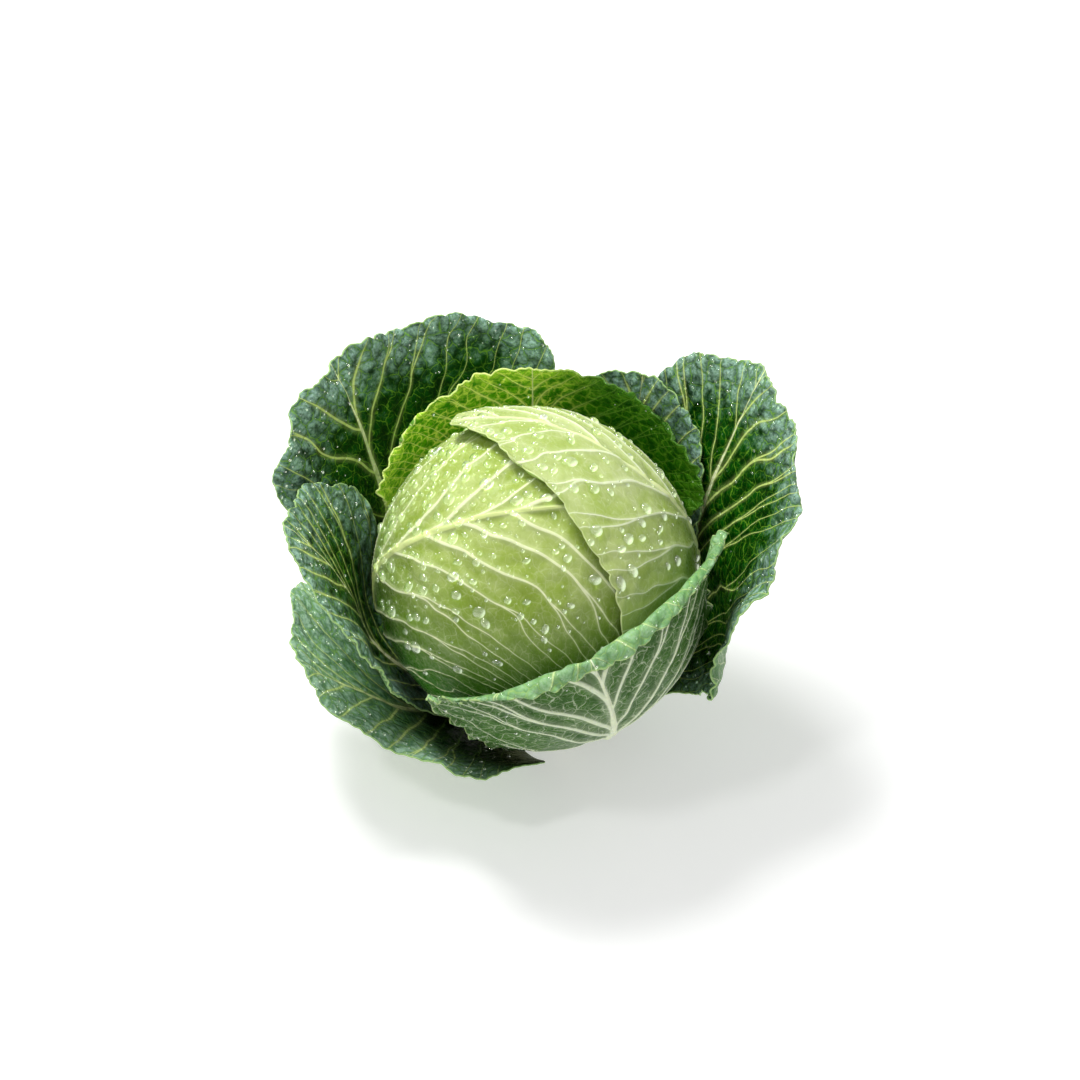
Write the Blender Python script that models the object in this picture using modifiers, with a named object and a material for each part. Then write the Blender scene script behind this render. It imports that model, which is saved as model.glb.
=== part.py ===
"""Cabbage head, cut from its root: a stem, a tight ball of leaves, and the open leaves round it.

Metres, +Z up. The origin is the middle of the stem's cut face, which the cabbage rests on.
Every leaf is a thin sheet that follows the head: its midrib runs up a row of stations, each an
angle round the head's centre (0 is straight down, 90 level, 180 the top) and a distance clear of
the head, and its blade spreads from the midrib to both sides, bent round the head.
"""
import math

import bmesh
import bpy
import numpy as np

MM = 0.001

# Driving sizes
HEAD_RADIUS = 85.0 * MM          # closed head, over its outermost leaf
STEM_RADIUS = 20.0 * MM
STEM_HEIGHT = 29.7 * MM
STEM_CHAMFER = 1.5 * MM
GAP = 0.3 * MM                   # between pieces that touch
LEAF_THICKNESS = 1.6 * MM        # open leaves
HEAD_LEAF_THICKNESS = 1.2 * MM   # closed leaves of the head
HEAD_LEAF_PITCH = 3.1 * MM       # from one closed leaf's middle to the next one's
FIRST_LEAF_HEIGHT = 4.0 * MM     # where the lowest leaf leaves the stem
LEAF_PITCH = 2.2 * MM            # up the stem, from one leaf to the next

# Sizes that follow from them
HEAD_LEAVES = 2
HEART_RADIUS = HEAD_RADIUS - HEAD_LEAVES * HEAD_LEAF_PITCH
HEAD_CENTRE = STEM_HEIGHT + GAP + math.sqrt(HEART_RADIUS**2 - STEM_RADIUS**2)

# The leaves' tables were drawn on this head and this stem. A leaf's foot keeps to the stem's girth
# whatever the head's size is, so its share of the head changes with both.
TABLES_HEAD = 85.0 * MM
TABLES_STEM = 20.0 * MM
FOOT_SHARE = STEM_RADIUS / TABLES_STEM * (TABLES_HEAD / HEAD_RADIUS)

# Mesh fineness
LEAF_CELLS = (12, 13)            # across and along a leaf
ROLLED_LEAF_CELLS = (14, 24)     # for the leaf with the rolled margin
HEAD_LEAF_CELLS = (18, 24)
BLADE_STEPS = 24                 # steps from the midrib to a point of the blade
SLOPE_STEP = 0.001               # share of the midrib over which its direction is read

# Leaves. 'azimuth' is counter-clockwise from +X. 'rise' holds the midrib's stations above the stem,
# as degrees round the head and mm clear of it. 'left' and 'right' are the degrees of the head that
# the blade covers on each side of the midrib, left being counter-clockwise seen from above. 'hug' is
# how far the blade bends round the head: 1 follows it, 0 is flat, below 0 turns away. 'twist' turns
# the stations sideways about the leaf's own azimuth, 'sway' changes the azimuth itself, in degrees.
# 'tip' is the share of the length where the blade's round end starts. All lists run from the stem
# to the tip, evenly.
WRAPPER_LEAVES = {
    "wrapper_leaf_lower_left": dict(
        azimuth=202, rank=0, tip=0.60,
        rise=((31, 10), (48, 14), (61, 22), (70, 33), (78, 43)),
        left=(7, 44, 45, 25, 18, 12), right=(7, 17, 26, 33, 37, 30),
        hug_left=(1.0, 1.0, 0.8, 0.55, 0.4, 0.3), hug_right=(1.0, 1.0, 0.8, 0.5, 0.3, 0.2),
        sway=(10, 10, 8, 2, -2, -4), twist=(0, -2, -4, -4, -4, -4)),
    "wrapper_leaf_back_left": dict(
        azimuth=143, rank=1, tip=0.60,
        rise=((40, 13), (67, 13), (93, 15), (112, 38), (122, 67)),
        left=(7, 20, 28, 34, 32, 23), right=(7, 23, 50, 64, 59, 45),
        hug_left=(1.0, 0.8, 0.5, 0.1, -0.2, -0.3), hug_right=(1.0,)),
    "wrapper_leaf_right": dict(
        azimuth=27, rank=2, tip=0.60,
        rise=((39, 14), (65, 15), (91, 15), (112, 39), (123, 74)),
        left=(7, 20, 34, 41, 33, 22), right=(7, 32, 62, 60, 43, 26),
        hug_left=(1.0, 1.0, 0.9, 0.9, 0.8, 0.7), hug_right=(1.0, 0.95, 0.8, 0.8, 0.55, 0.15)),
    "wrapper_leaf_left": dict(
        azimuth=190, rank=3, tip=0.60,
        rise=((41, 5), (67, 6), (91, 9), (106, 26), (115, 51)),
        left=(8, 18, 26, 30, 26, 18), right=(8, 19, 31, 37, 31, 21),
        hug_left=(1.0, 0.9, 0.8, 0.4, 0.0, -0.2), hug_right=(1.0, 1.0, 1.0, 1.0, 0.9, 0.8)),
    "wrapper_leaf_back": dict(
        azimuth=58, rank=4, tip=0.60,
        rise=((37, 9), (64, 9), (90, 10.5), (108, 25), (118, 39)),
        left=(8, 18, 22, 22, 19, 17), right=(8, 21, 31, 33, 26, 18),
        hug_left=(1.0,), hug_right=(1.0,)),
    "wrapper_leaf_front": dict(
        azimuth=293, rank=5, tip=0.85, trim=0.16, inward=1.0,
        rise=((25, 3), (40, 3.5), (55, 4), (70, 5), (85, 6), (97, 7), (105, 8.5), (110, 12),
              (110, 16), (106, 18)),
        left=(8, 20, 29, 39, 48, 54, 58, 60, 61, 60, 60),
        right=(8, 20, 29, 39, 46, 52, 56, 57, 56, 54, 54),
        hug_left=(1.0, 1.0, 1.0, 1.0, 1.0, 1.0, 0.94, 0.9, 0.86, 0.84, 0.82), hug_right=(1.0,),
        twist=(0, 8, 13, 16, 17, 17)),
    "wrapper_leaf_hood": dict(
        azimuth=90, rank=6, tip=0.70,
        rise=((39, 3), (66, 4.5), (93, 6), (114, 13), (132, 23)),
        left=(8, 26, 50, 61, 60, 50), right=(8, 26, 51, 67, 63, 50),
        hug_left=(1.0, 1.0, 1.0, 1.1, 1.18, 1.2), hug_right=(1.0,)),
}

# The closed leaves lie on the head, so their stations give no distance of their own but what the
# tip lifts by. Layer 0 is the inner one.
CLOSED_LEAVES = {
    "head_leaf_left": dict(
        azimuth=187, layer=0, tip=0.72, inward=1.0,
        rise=((40, 0), (65, 0), (90, 0), (115, 0), (140, 0), (165, 0), (190, 0), (215, 0), (240, 0)),
        left=(9, 34, 60, 74, 78, 78, 78, 76, 72, 62), right=(9, 26, 45, 60, 68, 68, 64, 56, 48, 40),
        hug_left=(1.0,), hug_right=(1.0,), twist=(0, -4, -12, -20, -22, -22, -22)),
    "head_leaf_right": dict(
        azimuth=5, layer=1, tip=0.60, inward=1.0,
        rise=((38, 0), (62, 0), (86, 0), (110, 0), (132, 0), (153, 0), (172, 0), (190, 1), (206, 5)),
        left=(9, 24, 42, 54, 58, 56, 50, 42, 34, 24), right=(9, 24, 50, 70, 68, 55, 46, 42, 36, 24),
        hug_left=(1.0,), hug_right=(1.0,), twist=(0, 0, 2, 5, 5, 2, -6, -16, -24, -29)),
}

COLOURS = {
    "stem": (0.62, 0.66, 0.36),
    "heart": (0.62, 0.74, 0.36),
    "head_leaf_left": (0.40, 0.58, 0.14),
    "head_leaf_right": (0.50, 0.66, 0.20),
    "wrapper_leaf_hood": (0.20, 0.40, 0.03),
    "wrapper_leaf_front": (0.22, 0.38, 0.13),
}
DARK_LEAF = (0.03, 0.13, 0.03)


def curve(values, share):
    """Smooth curve through evenly spaced values, read at shares of its length from 0 to 1."""
    values = np.asarray(values, float)
    if len(values) == 1:
        return np.full_like(share, values[0])
    before = 3 * values[0] - 3 * values[1] + values[2]
    after = 3 * values[-1] - 3 * values[-2] + values[-3]
    known = np.concatenate([[before], values, [after]])
    place = np.clip(share, 0, 1) * (len(values) - 1)
    i = np.clip(place.astype(int), 0, len(values) - 2)
    f = place - i
    a, b, c, d = known[i], known[i + 1], known[i + 2], known[i + 3]
    return b + f * (c - a + f * (2 * a - 5 * b + 4 * c - d + f * (3 * (b - c) + d - a))) / 2


def leaf_outline(across, along, tip):
    """Shares across and along the blade for a square's x and y: straight sides, then a round end."""
    end = np.clip((along - tip) / (1 - tip), 0, 1)
    s = np.where(along < tip, along, tip + (1 - tip) * end * np.sqrt(1 - across**2 / 2))
    return across * np.sqrt(1 - end**2 / 2), s


def midrib(leaf, s):
    """Distance from the axis and height of the midrib at shares s of its length."""
    angle = np.radians([a for a, _ in leaf["rise"]])
    reach = leaf["radius"] + MM * np.array([clear for _, clear in leaf["rise"]])
    r = np.concatenate([[leaf["base"][0]], reach * np.sin(angle)])
    z = np.concatenate([[leaf["base"][1]], HEAD_CENTRE - reach * np.cos(angle)])
    return curve(r, s), curve(z, s)


def turned(points, axis, angle):
    """Points turned about a level axis through the head's centre."""
    centre = np.array([0, 0, HEAD_CENTRE])
    p = points - centre
    cos, sin = np.cos(angle)[:, None], np.sin(angle)[:, None]
    along_axis = axis * (axis * p).sum(1, keepdims=True)
    return centre + p * cos + np.cross(axis, p) * sin + along_axis * (1 - cos)


def leaf_points(leaf, t, s):
    """Points of the leaf's middle surface, t of the way from the midrib (-1 to 1), s along it."""
    r, z = midrib(leaf, s)
    r_after, z_after = midrib(leaf, np.clip(s + SLOPE_STEP, 0, 1))
    r_before, z_before = midrib(leaf, np.clip(s - SLOPE_STEP, 0, 1))
    slope = np.arctan2(z_after - z_before, r_after - r_before)[:, None]
    azimuth = np.radians(leaf["azimuth"] + curve(leaf.get("sway", (0,)), s))
    zero = np.zeros_like(s)
    out = np.stack([np.cos(azimuth), np.sin(azimuth), zero], 1)
    side = np.stack([-np.sin(azimuth), np.cos(azimuth), zero], 1)
    up = np.array([0.0, 0.0, 1.0])
    start = r[:, None] * out + z[:, None] * up
    normal = np.cos(slope) * up - np.sin(slope) * out
    inward = leaf.get("inward", 0.0)
    if inward:
        to_centre = HEAD_CENTRE * up - start
        to_centre /= np.linalg.norm(to_centre, axis=1, keepdims=True)
        normal = normal * (1 - inward) + to_centre * inward
        normal /= np.linalg.norm(normal, axis=1, keepdims=True)
    is_left = t >= 0
    cover = np.radians(np.where(is_left, curve(leaf["left"], s), curve(leaf["right"], s)))
    hug = np.where(is_left, curve(leaf["hug_left"], s), curve(leaf["hug_right"], s))
    step = cover * np.hypot(r, z - HEAD_CENTRE) * np.abs(t) / BLADE_STEPS
    sideways = np.zeros_like(s)
    inwards = np.zeros_like(s)
    for k in range(BLADE_STEPS):
        bend = hug * cover * np.abs(t) * (k + 0.5) / BLADE_STEPS
        sideways += step * np.cos(bend)
        inwards += step * np.sin(bend)
    points = start + side * (np.sign(t) * sideways)[:, None] + normal * inwards[:, None]
    return turned(points, out, np.radians(curve(leaf.get("twist", (0,)), s)))


def plain_material(name, colour, roughness=0.5):
    material = bpy.data.materials.new(name)
    material.use_nodes = True
    shader = material.node_tree.nodes["Principled BSDF"]
    shader.inputs["Base Color"].default_value = (*colour, 1.0)
    shader.inputs["Roughness"].default_value = roughness
    shader.inputs["Metallic"].default_value = 0.0
    return material


def add_piece(name, bm, collection):
    mesh = bpy.data.meshes.new(name)
    bm.to_mesh(mesh)
    bm.free()
    mesh.shade_smooth()
    mesh.materials.append(plain_material(name, COLOURS.get(name, DARK_LEAF)))
    piece = bpy.data.objects.new(name, mesh)
    collection.objects.link(piece)
    return piece


def add_leaf(name, leaf, cells, thickness, collection):
    """A grid bent into the leaf's middle surface and given its thickness."""
    bm = bmesh.new()
    bmesh.ops.create_grid(bm, x_segments=cells[0], y_segments=cells[1], size=1.0)
    square = np.array([v.co for v in bm.verts])
    t, s = leaf_outline(square[:, 0], (square[:, 1] + 1) / 2, leaf["tip"])
    s = s * (1 - leaf.get("trim", 0) * np.clip(-t, 0, 1)**2)
    for vertex, point in zip(bm.verts, leaf_points(leaf, t, s)):
        vertex.co = point
    piece = add_piece(name, bm, collection)
    shell = piece.modifiers.new("Thickness", "SOLIDIFY")
    shell.thickness = thickness
    shell.offset = 0.0


def add_wrapper_leaves(collection):
    for name, form in WRAPPER_LEAVES.items():
        height = FIRST_LEAF_HEIGHT + form["rank"] * LEAF_PITCH
        start = STEM_RADIUS + GAP + LEAF_THICKNESS / 2
        leaf = dict(form, radius=HEAD_RADIUS, base=(start, height))
        for side in ("left", "right"):
            leaf[side] = (form[side][0] * FOOT_SHARE, *form[side][1:])
        cells = ROLLED_LEAF_CELLS if name == "wrapper_leaf_front" else LEAF_CELLS
        add_leaf(name, leaf, cells, LEAF_THICKNESS, collection)


def add_closed_leaves(collection):
    for name, form in CLOSED_LEAVES.items():
        radius = HEART_RADIUS + (form["layer"] + 0.5) * HEAD_LEAF_PITCH
        start = STEM_RADIUS + GAP + HEAD_LEAF_THICKNESS / 2
        leaf = dict(form, radius=radius, base=(start, HEAD_CENTRE - math.sqrt(radius**2 - start**2)))
        add_leaf(name, leaf, HEAD_LEAF_CELLS, HEAD_LEAF_THICKNESS, collection)


def add_turned(name, profile, steps, collection):
    """A profile of radius and height, from the top down its outer side, turned about Z."""
    bm = bmesh.new()
    points = [bm.verts.new((r, 0, z)) for r, z in profile]
    for a, b in zip(points, points[1:]):
        bm.edges.new((a, b))
    piece = add_piece(name, bm, collection)
    turn = piece.modifiers.new("Turn", "SCREW")
    turn.steps = steps
    turn.render_steps = steps
    turn.use_merge_vertices = True
    turn.merge_threshold = 0.00001


def add_heart(collection, rows=16, steps=36):
    """The packed inner leaves: a ball with a flat where the stem meets it."""
    flat = math.pi - math.asin(STEM_RADIUS / HEART_RADIUS)
    angles = [flat * k / rows for k in range(rows + 1)]
    arc = [(HEART_RADIUS * math.sin(a), HEAD_CENTRE + HEART_RADIUS * math.cos(a)) for a in angles]
    add_turned("heart", arc + [(0, arc[-1][1])], steps, collection)


def add_stem(collection, steps=32):
    rim = STEM_RADIUS - STEM_CHAMFER
    profile = [(0, STEM_HEIGHT), (STEM_RADIUS, STEM_HEIGHT), (STEM_RADIUS, STEM_CHAMFER), (rim, 0), (0, 0)]
    add_turned("stem", profile, steps, collection)


def main():
    for old in list(bpy.data.objects):
        bpy.data.objects.remove(old)
    collection = bpy.data.collections.new("cabbage_head")
    bpy.context.scene.collection.children.link(collection)
    add_stem(collection)
    add_heart(collection)
    add_closed_leaves(collection)
    add_wrapper_leaves(collection)


main()
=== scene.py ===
"""Looks of the cabbage head: fine crinkled leaves with ribs and veins, a cut stem, water drops.

Every leaf stands where its CAD node does, on the same stations round the same head, whose sizes are
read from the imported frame. It is drawn again as a fine closed sheet. Lengths are metres in the world
and mm in the leaves' own coordinates, which the materials read.
"""
import math

import bmesh
import bpy
import numpy as np
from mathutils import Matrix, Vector
from mathutils.bvhtree import BVHTree


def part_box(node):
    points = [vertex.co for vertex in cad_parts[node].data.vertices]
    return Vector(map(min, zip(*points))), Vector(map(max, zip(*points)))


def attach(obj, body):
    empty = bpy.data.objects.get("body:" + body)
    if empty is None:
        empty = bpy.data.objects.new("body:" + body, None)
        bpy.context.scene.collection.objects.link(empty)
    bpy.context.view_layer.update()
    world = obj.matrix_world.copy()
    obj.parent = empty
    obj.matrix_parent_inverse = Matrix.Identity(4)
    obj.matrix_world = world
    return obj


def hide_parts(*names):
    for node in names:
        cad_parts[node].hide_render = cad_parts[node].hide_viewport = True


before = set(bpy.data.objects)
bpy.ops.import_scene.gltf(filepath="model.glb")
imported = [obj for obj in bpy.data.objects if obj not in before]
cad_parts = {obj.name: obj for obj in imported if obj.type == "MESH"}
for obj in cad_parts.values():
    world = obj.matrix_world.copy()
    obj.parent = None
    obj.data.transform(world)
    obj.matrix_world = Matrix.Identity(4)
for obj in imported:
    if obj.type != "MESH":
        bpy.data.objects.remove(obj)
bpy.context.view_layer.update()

MM = 0.001
GAP = 0.3 * MM                   # between pieces that touch, as in the CAD model
LEAF_THICKNESS = 1.6 * MM        # open leaves
HEAD_LEAF_THICKNESS = 1.2 * MM   # closed leaves of the head
HEAD_LEAF_PITCH = 3.1 * MM       # from one closed leaf's middle to the next one's
FIRST_LEAF_HEIGHT = 4.0 * MM     # where the lowest leaf leaves the stem
LEAF_PITCH = 2.2 * MM            # up the stem, from one leaf to the next
BLADE_STEPS = 16                 # steps from the midrib to a point of the blade
SLOPE_STEP = 0.001               # share of the midrib over which its direction is read

heart_low, heart_high = (Vector(c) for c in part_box("heart"))
stem_low, stem_high = (Vector(c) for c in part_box("stem"))
HEART_RADIUS = (heart_high.x - heart_low.x) / 2
HEAD_CENTRE = heart_high.z - HEART_RADIUS
HEAD_RADIUS = HEART_RADIUS + 2 * HEAD_LEAF_PITCH
STEM_RADIUS = (stem_high.x - stem_low.x) / 2
STEM_HEIGHT = stem_high.z - stem_low.z
STEM_BEVEL = 1.5 * MM
STEM_FADE = 4 * MM               # over which its ridges rise from its ends
SAW_DEPTH = 0.25 * MM            # of the marks in its cut face
CENTRE = np.array([0.0, 0.0, HEAD_CENTRE])

# ---- leaf forms, as in the CAD model
# 'azimuth' is counter-clockwise from +X. 'rise' holds the midrib's stations above the stem: degrees
# round the head and mm clear of it. 'left' and 'right' are the degrees of the head that the blade
# covers on each side, and 'hug' how far it bends round the head: 1 follows it, 0 is flat. 'twist'
# turns the stations about the leaf's own azimuth, 'sway' changes the azimuth. 'tip' is the share of
# the length where the round end starts, and 'trim' cuts its right end shorter. 'inward' 1 aims the
# bend at the head's centre. Lists run from the stem to the tip, evenly.
WRAPPER_LEAVES = {
    "wrapper_leaf_lower_left": dict(
        azimuth=202, rank=0, tip=0.60,
        rise=((31, 10), (48, 14), (61, 22), (70, 33), (78, 43)),
        left=(7, 44, 45, 25, 18, 12), right=(7, 17, 26, 33, 37, 30),
        hug_left=(1.0, 1.0, 0.8, 0.55, 0.4, 0.3), hug_right=(1.0, 1.0, 0.8, 0.5, 0.3, 0.2),
        sway=(10, 10, 8, 2, -2, -4), twist=(0, -2, -4, -4, -4, -4)),
    "wrapper_leaf_back_left": dict(
        azimuth=143, rank=1, tip=0.60,
        rise=((40, 13), (67, 13), (93, 15), (112, 38), (122, 67)),
        left=(7, 20, 28, 34, 32, 23), right=(7, 23, 50, 64, 59, 45),
        hug_left=(1.0, 0.8, 0.5, 0.1, -0.2, -0.3), hug_right=(1.0,)),
    "wrapper_leaf_right": dict(
        azimuth=27, rank=2, tip=0.60,
        rise=((39, 14), (65, 15), (91, 15), (112, 39), (123, 74)),
        left=(7, 20, 34, 41, 33, 22), right=(7, 32, 62, 60, 43, 26),
        hug_left=(1.0, 1.0, 0.9, 0.9, 0.8, 0.7), hug_right=(1.0, 0.95, 0.8, 0.8, 0.55, 0.15)),
    "wrapper_leaf_left": dict(
        azimuth=190, rank=3, tip=0.60,
        rise=((41, 5), (67, 6), (91, 9), (106, 26), (115, 51)),
        left=(8, 18, 26, 30, 26, 18), right=(8, 19, 31, 37, 31, 21),
        hug_left=(1.0, 0.9, 0.8, 0.4, 0.0, -0.2), hug_right=(1.0, 1.0, 1.0, 1.0, 0.9, 0.8)),
    "wrapper_leaf_back": dict(
        azimuth=58, rank=4, tip=0.60,
        rise=((37, 9), (64, 9), (90, 10.5), (108, 25), (118, 39)),
        left=(8, 18, 22, 22, 19, 17), right=(8, 21, 31, 33, 26, 18),
        hug_left=(1.0,), hug_right=(1.0,)),
    "wrapper_leaf_front": dict(
        azimuth=293, rank=5, tip=0.85, trim=0.16, inward=1.0,
        rise=((25, 3), (40, 3.5), (55, 4), (70, 5), (85, 6), (97, 7), (105, 8.5), (110, 12),
              (110, 16), (106, 18)),
        left=(8, 20, 29, 39, 48, 54, 58, 60, 61, 60, 60),
        right=(8, 20, 29, 39, 46, 52, 56, 57, 56, 54, 54),
        hug_left=(1.0, 1.0, 1.0, 1.0, 1.0, 1.0, 0.94, 0.9, 0.86, 0.84, 0.82), hug_right=(1.0,),
        twist=(0, 8, 13, 16, 17, 17)),
    "wrapper_leaf_hood": dict(
        azimuth=90, rank=6, tip=0.70,
        rise=((39, 3), (66, 4.5), (93, 6), (114, 13), (132, 23)),
        left=(8, 26, 50, 61, 60, 50), right=(8, 26, 51, 67, 63, 50),
        hug_left=(1.0, 1.0, 1.0, 1.1, 1.18, 1.2), hug_right=(1.0,)),
}
CLOSED_LEAVES = {
    "head_leaf_left": dict(
        azimuth=187, layer=0, tip=0.72, inward=1.0,
        rise=((40, 0), (65, 0), (90, 0), (115, 0), (140, 0), (165, 0), (190, 0), (215, 0), (240, 0)),
        left=(9, 34, 60, 74, 78, 78, 78, 76, 72, 62), right=(9, 26, 45, 60, 68, 68, 64, 56, 48, 40),
        hug_left=(1.0,), hug_right=(1.0,), twist=(0, -4, -12, -20, -22, -22, -22)),
    "head_leaf_right": dict(
        azimuth=5, layer=1, tip=0.60, inward=1.0,
        rise=((38, 0), (62, 0), (86, 0), (110, 0), (132, 0), (153, 0), (172, 0), (190, 1), (206, 5)),
        left=(9, 24, 42, 54, 58, 56, 50, 42, 34, 24), right=(9, 24, 50, 70, 68, 55, 46, 42, 36, 24),
        hug_left=(1.0,), hug_right=(1.0,), twist=(0, 0, 2, 5, 5, 2, -6, -16, -24, -29)),
}

# How each leaf is drawn. 'ruffle' and 'crinkle' are the margin's large and small waves in mm, and
# 'frill' the share of the finest. 'lobe' is how far its scallops stand out. 'outwards' turns all
# waves away from the head and 'raised' lifts the margin, in mm. 'veins' side veins spring from each
# side of the midrib. 'slant' is how far they run along the leaf for each mm away from it, at the base
# and the tip, and 'curl' below 1 bends them outwards. 'rib' and 'vein' are half widths in mm, at the
# base. 'rib_height' is the most that the midrib stands out, in mm, 'vein_height' a side vein's height
# by its half width, and 'pucker' the blade's height between the side veins, in mm.
LOOKS = {
    "wrapper_leaf_lower_left": dict(
        palette="low", ruffle=2.6, crinkle=1.0, lobe=1.1, veins=8, rib=3.0,
        slant=(1.3, 1.8), curl=0.85, vein=0.62, pucker=1.1, seed=11),
    "wrapper_leaf_back_left": dict(
        palette="dark", ruffle=3.0, crinkle=1.1, lobe=1.2, veins=9, rib=5.0,
        slant=(1.3, 1.8), curl=0.85, vein=0.66, pucker=1.1, seed=12),
    "wrapper_leaf_right": dict(
        palette="dark", ruffle=3.0, crinkle=1.1, lobe=1.2, veins=10, rib=3.6,
        slant=(1.9, 2.6), curl=0.85, vein=0.62, pucker=1.1, seed=13),
    "wrapper_leaf_left": dict(
        palette="dark", ruffle=1.8, crinkle=0.8, lobe=0.9, veins=9, rib=2.2,
        slant=(2.0, 2.8), curl=0.9, vein=0.6, pucker=0.7, seed=14),
    "wrapper_leaf_back": dict(
        palette="dark", ruffle=2.2, crinkle=1.0, lobe=1.0, veins=9, rib=3.0,
        slant=(1.5, 2.0), curl=0.9, vein=0.7, pucker=0.8, seed=15),
    "wrapper_leaf_front": dict(
        palette="front", ruffle=1.2, crinkle=2.5, lobe=1.7, veins=9, rib=3.8,
        slant=(0.75, 2.2), curl=0.9, vein=1.25, pucker=0.8, vein_height=0.9, seed=16),
    "wrapper_leaf_hood": dict(
        palette="bright", ruffle=1.2, crinkle=2.0, frill=0.3, lobe=1.4, veins=13, rib=2.4,
        slant=(1.2, 1.8), curl=0.9, vein=0.6, pucker=0.8, seed=17),
    "head_leaf_left": dict(
        palette="head", ruffle=0.0, crinkle=0.2, frill=0.1, lobe=1.0, veins=12, rib=3.0,
        slant=(2.0, 2.2), curl=0.8, vein=0.85, pucker=1.3, rib_height=1.3, vein_height=1.2, seed=18),
    "head_leaf_right": dict(
        palette="head_pale", ruffle=1.0, crinkle=0.5, frill=0.1, lobe=1.7, outwards=1.0, raised=3.0,
        veins=12, rib=2.6, slant=(1.3, 1.7), curl=0.85, vein=0.8, pucker=0.9, rib_height=1.6,
        vein_height=1.2, seed=19),
}
PLAIN_LOOK = dict(frill=0.4, outwards=0.0, raised=0.0, rib_height=2.0, vein_height=0.7)
GRID_CELLS = 48500        # cells of a leaf's grid on each of its two faces
PROBES = 200              # points at which a midrib or a side of the margin is measured
NORMAL_STEP = 2e-3        # share of the leaf over which its smooth normal is read
SMOOTH_SHARE = 0.25       # of the smooth normal in a fine one: rules where the grid is squeezed
TIP_ROOM = 0.985          # share of the leaf's length that is used, to leave its lobes room
LOBE_CENTRE = 0.35        # share of the length from which the lobes stand out


# ---- smooth curves and noise
def curve(values, share):
    """Smooth curve through evenly spaced values, read at shares of its length from 0 to 1."""
    values = np.asarray(values, float)
    if len(values) == 1:
        return np.full_like(share, values[0])
    before = 3 * values[0] - 3 * values[1] + values[2]
    after = 3 * values[-1] - 3 * values[-2] + values[-3]
    known = np.concatenate([[before], values, [after]])
    place = np.clip(share, 0, 1) * (len(values) - 1)
    i = np.clip(place.astype(int), 0, len(values) - 2)
    f = place - i
    a, b, c, d = known[i], known[i + 1], known[i + 2], known[i + 3]
    return b + f * (c - a + f * (2 * a - 5 * b + 4 * c - d + f * (3 * (b - c) + d - a))) / 2


def smooth(low, high, x):
    """Smooth step from 0 at low to 1 at high."""
    f = np.clip((x - low) / (high - low), 0, 1)
    return f * f * (3 - 2 * f)


def noise(x, y, seed):
    """Smooth noise in the plane, about -1 to 1, one lump per unit."""
    ix, iy = np.floor(x).astype(np.int64), np.floor(y).astype(np.int64)
    fx, fy = x - ix, y - iy
    fx, fy = fx * fx * (3 - 2 * fx), fy * fy * (3 - 2 * fy)

    def corner(i, j):
        h = (i * 374761393 + j * 668265263 + seed * 974711) & 0xFFFFFFFF
        h = ((h ^ (h >> 13)) * 1274126177) & 0xFFFFFFFF
        return ((h ^ (h >> 16)) & 0xFFFF) / 32767.5 - 1

    low = corner(ix, iy) * (1 - fx) + corner(ix + 1, iy) * fx
    high = corner(ix, iy + 1) * (1 - fx) + corner(ix + 1, iy + 1) * fx
    return low * (1 - fy) + high * fy


def ripple(x, period, seed):
    """A wavy line, about -1 to 1, of waves about a period long, uneven in length and height."""
    level = np.full_like(x, 0.5)
    phase = x / period + 0.7 * noise(x / period / 2.3, level, seed)
    return np.sin(2 * math.pi * phase) * (0.7 + 0.5 * noise(x / period / 1.7, level, seed + 50))


def scallops(x, size, seed):
    """Round lobes of about that size with notches between them, about -1 to 1."""
    level = np.full_like(x, 0.5)
    phase = x / size + 0.8 * noise(x / size / 2.1, level, seed)
    lobe = 2 * np.abs(np.sin(math.pi * phase))**0.7 - 1.3
    return lobe * (0.75 + 0.5 * noise(x / size / 1.9, level, seed + 50))


# ---- the leaf's middle surface
def leaf_outline(across, along, tip):
    """Shares across and along the blade for a square's x and y: straight sides, then a round end."""
    end = np.clip((along - tip) / (1 - tip), 0, 1)
    s = np.where(along < tip, along, tip + (1 - tip) * end * np.sqrt(1 - across**2 / 2))
    return across * np.sqrt(1 - end**2 / 2), s


def trimmed_outline(leaf, across, along):
    """The same, with the blade's right end cut shorter by the leaf's trim."""
    t, s = leaf_outline(across, along, leaf["tip"])
    return t, s * (1 - leaf.get("trim", 0) * np.clip(-t, 0, 1)**2)


def margin_angle(across, along):
    """Angle of a square's point as seen from a third of the way up it, to place it on the margin."""
    return np.arctan2(across, (along - LOBE_CENTRE) / (1 - LOBE_CENTRE) + 1e-9)


def midrib(leaf, s):
    """Distance from the axis and height of the midrib at shares s of its length."""
    angle = np.radians([a for a, _ in leaf["rise"]])
    reach = leaf["radius"] + MM * np.array([clear for _, clear in leaf["rise"]])
    r = np.concatenate([[leaf["base"][0]], reach * np.sin(angle)])
    z = np.concatenate([[leaf["base"][1]], HEAD_CENTRE - reach * np.cos(angle)])
    return curve(r, s), curve(z, s)


def turned(points, axis, angle):
    """Points turned about a level axis through the head's centre."""
    p = points - CENTRE
    cos, sin = np.cos(angle)[:, None], np.sin(angle)[:, None]
    along_axis = axis * (axis * p).sum(1, keepdims=True)
    return CENTRE + p * cos + np.cross(axis, p) * sin + along_axis * (1 - cos)


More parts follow.
